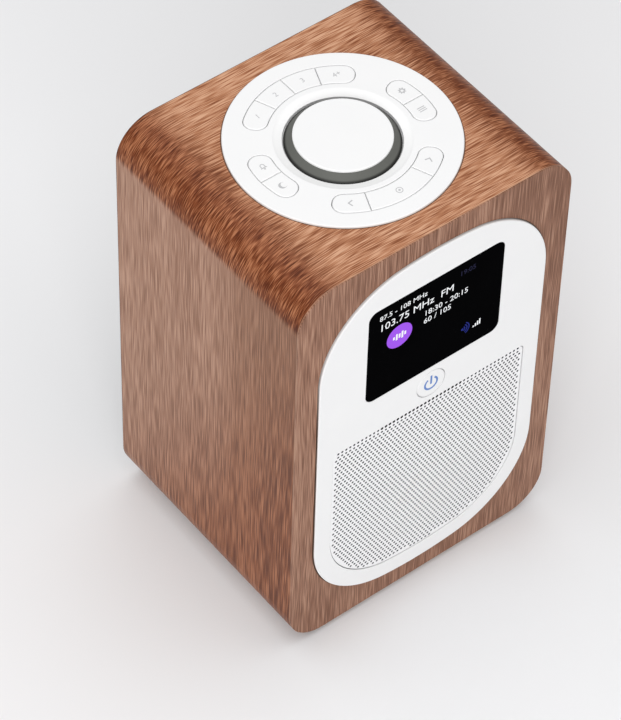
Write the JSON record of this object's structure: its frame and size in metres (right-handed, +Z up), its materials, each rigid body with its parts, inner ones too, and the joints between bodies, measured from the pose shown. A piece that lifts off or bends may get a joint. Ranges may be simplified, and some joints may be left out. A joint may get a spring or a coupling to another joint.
{
  "type": "tabletop radio",
  "caption": "Upright tabletop radio in a wood-veneered cabinet with a colour display, a grille, a power button and a round top panel with keys and a knob.",
  "frame": {"origin": "on the table under the middle of the whole radio, antenna included", "axes": "+X to the right as seen from the front, +Y from the front to the back, +Z up"},
  "size_m": [0.125, 0.1174, 0.1997],
  "materials": {
    "walnut": "satin veneer with straight grain",
    "fibreboard": "raw fibreboard",
    "foot_rubber": "matt",
    "white_plastic": "soft gloss",
    "grille_white": "painted, perforated",
    "grille_cloth": "open weave",
    "display_black": "high gloss",
    "display_panel": "satin",
    "circuit_board": "satin",
    "switch_black": "matt",
    "screw_steel": "plain",
    "speaker_steel": "black paint",
    "ferrite": "raw",
    "speaker_paper": "pressed paper",
    "coil_copper": "enamelled wire",
    "soft_rubber": "matt",
    "knob_grey": "satin",
    "black_plastic": "fine texture",
    "battery_wrap": "shrink wrap",
    "ribbon_grey": "satin",
    "antenna_chrome": "polished"
  },
  "bodies": {
    "cabinet": {"cabinet_shell": "walnut", "front_veneer": "walnut", "front_baffle": "fibreboard", "feet": "foot_rubber", "front_bezel": "white_plastic", "control_panel": "white_plastic", "grille": "grille_white", "grille_cloth": "grille_cloth", "display_lens": "display_black", "display_module": "display_panel", "display_board": "circuit_board", "control_board": "circuit_board", "main_board": "circuit_board", "power_switch": "switch_black", "key_switches": "switch_black", "encoder_body": "switch_black", "mounting_screws": "screw_steel", "rear_cover_screws": "screw_steel", "tuner_module": "screw_steel", "speaker_frame": "speaker_steel", "speaker_top_plate": "speaker_steel", "speaker_yoke": "speaker_steel", "speaker_magnet": "ferrite", "speaker_spider": "speaker_paper", "speaker_surround": "soft_rubber", "speaker_gasket": "soft_rubber", "panel_retainer": "black_plastic", "rear_cover": "black_plastic", "aux_socket": "black_plastic", "headphone_socket": "black_plastic", "dc_inlet": "black_plastic", "speaker_lead": "black_plastic", "battery_pack": "battery_wrap", "ribbon_cable": "ribbon_grey"},
    "key_preset_1": {"key_preset_1": "white_plastic"},
    "key_preset_2": {"key_preset_2": "white_plastic"},
    "key_preset_3": {"key_preset_3": "white_plastic"},
    "key_preset_4": {"key_preset_4": "white_plastic"},
    "key_alarm": {"key_alarm": "white_plastic"},
    "key_snooze": {"key_snooze": "white_plastic"},
    "key_settings": {"key_settings": "white_plastic"},
    "key_menu": {"key_menu": "white_plastic"},
    "key_back": {"key_back": "white_plastic"},
    "key_select": {"key_select": "white_plastic"},
    "key_forward": {"key_forward": "white_plastic"},
    "power_button": {"power_button": "white_plastic"},
    "encoder_plunger": {"encoder_plunger": "switch_black"},
    "knob": {"knob_body": "knob_grey", "knob_cap": "white_plastic", "encoder_shaft": "screw_steel"},
    "cone": {"speaker_cone": "speaker_paper", "voice_coil": "coil_copper"},
    "battery_door": {"battery_door": "black_plastic"},
    "antenna_base": {"antenna_base": "black_plastic", "antenna_pin": "screw_steel"},
    "antenna_arm": {"antenna_knuckle": "antenna_chrome", "antenna_tube_1": "antenna_chrome"},
    "antenna_tube_2": {"antenna_tube_2": "antenna_chrome"},
    "antenna_tube_3": {"antenna_tube_3": "antenna_chrome"},
    "antenna_rod": {"antenna_rod": "antenna_chrome"}
  },
  "joints": [
    {"name": "key_preset_1_press", "type": "slide", "parent": "cabinet", "child": "key_preset_1", "axis": [0, 0, -1], "range_m": [0, 0.0005], "stiffness_N_per_m": 1500},
    {"name": "key_preset_2_press", "type": "slide", "parent": "cabinet", "child": "key_preset_2", "axis": [0, 0, -1], "range_m": [0, 0.0005], "stiffness_N_per_m": 1500},
    {"name": "key_preset_3_press", "type": "slide", "parent": "cabinet", "child": "key_preset_3", "axis": [0, 0, -1], "range_m": [0, 0.0005], "stiffness_N_per_m": 1500},
    {"name": "key_preset_4_press", "type": "slide", "parent": "cabinet", "child": "key_preset_4", "axis": [0, 0, -1], "range_m": [0, 0.0005], "stiffness_N_per_m": 1500},
    {"name": "key_alarm_press", "type": "slide", "parent": "cabinet", "child": "key_alarm", "axis": [0, 0, -1], "range_m": [0, 0.0005], "stiffness_N_per_m": 1500},
    {"name": "key_snooze_press", "type": "slide", "parent": "cabinet", "child": "key_snooze", "axis": [0, 0, -1], "range_m": [0, 0.0005], "stiffness_N_per_m": 1500},
    {"name": "key_settings_press", "type": "slide", "parent": "cabinet", "child": "key_settings", "axis": [0, 0, -1], "range_m": [0, 0.0005], "stiffness_N_per_m": 1500},
    {"name": "key_menu_press", "type": "slide", "parent": "cabinet", "child": "key_menu", "axis": [0, 0, -1], "range_m": [0, 0.0005], "stiffness_N_per_m": 1500},
    {"name": "key_back_press", "type": "slide", "parent": "cabinet", "child": "key_back", "axis": [0, 0, -1], "range_m": [0, 0.0005], "stiffness_N_per_m": 1500},
    {"name": "key_select_press", "type": "slide", "parent": "cabinet", "child": "key_select", "axis": [0, 0, -1], "range_m": [0, 0.0005], "stiffness_N_per_m": 1500},
    {"name": "key_forward_press", "type": "slide", "parent": "cabinet", "child": "key_forward", "axis": [0, 0, -1], "range_m": [0, 0.0005], "stiffness_N_per_m": 1500},
    {"name": "power_press", "type": "slide", "parent": "cabinet", "child": "power_button", "axis": [0, 1, 0], "range_m": [0, 0.0006], "stiffness_N_per_m": 1500},
    {"name": "knob_push", "type": "slide", "parent": "cabinet", "child": "encoder_plunger", "axis": [0, 0, -1], "range_m": [0, 0.0005], "stiffness_N_per_m": 4000},
    {"name": "knob_turn", "type": "hinge", "parent": "encoder_plunger", "child": "knob", "pos_m": [0, -0.00275, 0.1979], "axis": [0, 0, 1], "continuous": true},
    {"name": "cone_stroke", "type": "slide", "parent": "cabinet", "child": "cone", "axis": [0, 1, 0], "range_m": [-0.0015, 0.0015], "stiffness_N_per_m": 1500, "deforming": ["speaker_surround", "speaker_spider"]},
    {"name": "battery_door_open", "type": "hinge", "parent": "cabinet", "child": "battery_door", "pos_m": [-0.008, 0.04755, 0.0185], "axis": [-1, 0, 0], "range_deg": [0, 80]},
    {"name": "antenna_swivel", "type": "hinge", "parent": "cabinet", "child": "antenna_base", "pos_m": [0.04, 0.05475, 0.175], "axis": [0, 1, 0], "range_deg": [0, 270]},
    {"name": "antenna_tilt", "type": "hinge", "parent": "antenna_base", "child": "antenna_arm", "pos_m": [0.04, 0.05475, 0.175], "axis": [1, 0, 0], "range_deg": [0, 90]},
    {"name": "antenna_draw_1", "type": "slide", "parent": "antenna_arm", "child": "antenna_tube_2", "axis": [0, 0, -1], "range_m": [0, 0.105]},
    {"name": "antenna_draw_2", "type": "slide", "parent": "antenna_tube_2", "child": "antenna_tube_3", "axis": [0, 0, -1], "range_m": [0, 0.105]},
    {"name": "antenna_draw_3", "type": "slide", "parent": "antenna_tube_3", "child": "antenna_rod", "axis": [0, 0, -1], "range_m": [0, 0.105]}
  ]
}
